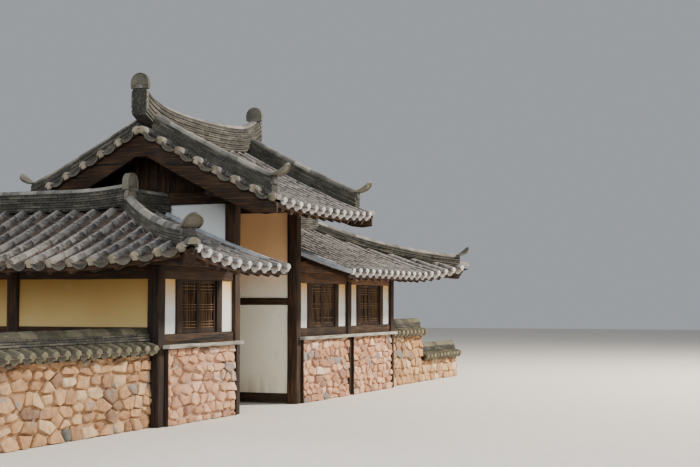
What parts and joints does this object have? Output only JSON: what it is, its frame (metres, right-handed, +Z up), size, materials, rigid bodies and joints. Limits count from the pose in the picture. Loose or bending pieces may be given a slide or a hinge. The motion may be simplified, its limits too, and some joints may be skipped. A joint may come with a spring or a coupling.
{
  "type": "hanok gatehouse",
  "caption": "Korean hanok gatehouse: a tall gate bay between lower tiled wings, with plaster and rubble walls, lattice windows and tile-capped walls along the street.",
  "frame": {"origin": "on the ground under the middle of the gate's threshold", "axes": "+X along the street to the right as seen from it, +Y from the street into the yard, +Z up"},
  "size_m": [16.9, 5.8751, 4.829],
  "materials": {
    "timber": "weathered dark brown timber",
    "door": "weathered brown planks",
    "lattice": "dark reddish brown lattice over backing boards",
    "plaster": "warm cream lime plaster, as a matt solid",
    "rubble": "pinkish granite rubble, as a matt solid",
    "roof_tile": "weathered grey fired clay, as a matt solid",
    "earth": "packed earth, as a matt solid"
  },
  "bodies": {
    "root": {"left_wing_side_frame": "timber", "left_wing_side_plaster": "plaster", "left_wing_street_frame": "timber", "left_wing_street_plaster": "plaster", "left_wing_back_frame": "timber", "left_wing_back_plaster": "plaster", "left_wing_court_frame": "timber", "left_wing_court_plaster": "plaster", "left_wing_court_door": "door", "left_wing_wainscot": "rubble", "left_wing_window": "lattice", "left_wing_floor": "earth", "right_wing_street_frame": "timber", "right_wing_street_plaster": "plaster", "right_wing_yard_frame": "timber", "right_wing_yard_plaster": "plaster", "right_wing_side_frame": "timber", "right_wing_side_plaster": "plaster", "right_wing_cross_beam": "timber", "right_wing_wainscot_1": "rubble", "right_wing_window_1": "lattice", "right_wing_wainscot_2": "rubble", "right_wing_window_2": "lattice", "right_wing_yard_door": "door", "right_wing_yard_window": "lattice", "right_wing_floor": "earth", "gate_left_frame": "timber", "gate_left_plaster": "plaster", "gate_right_frame": "timber", "gate_right_plaster": "plaster", "gate_threshold": "timber", "gate_door_frame": "timber", "gate_over_door_panel": "plaster", "gate_door_left": "door", "gate_door_right": "door", "gate_roof_frame": "timber", "gate_bargeboard_left": "timber", "gate_bargeboard_right": "timber", "left_wing_rafters_street": "timber", "left_wing_rafters_side": "timber", "left_wing_rafters_court": "timber", "right_wing_rafters_street": "timber", "right_wing_rafters_yard": "timber", "right_wing_rafters_side": "timber", "gate_rafters_street": "timber", "gate_rafters_yard": "timber", "left_wing_roof": "roof_tile", "left_wing_back_roof": "roof_tile", "left_wing_ridges": "roof_tile", "right_wing_roof": "roof_tile", "right_wing_ridges": "roof_tile", "gate_roof": "roof_tile", "gate_ridges": "roof_tile", "left_street_wall": "rubble", "left_street_wall_coping": "roof_tile", "right_street_wall": "rubble", "right_street_wall_coping_high": "roof_tile", "right_street_wall_coping_low": "roof_tile"}
  },
  "joints": []
}
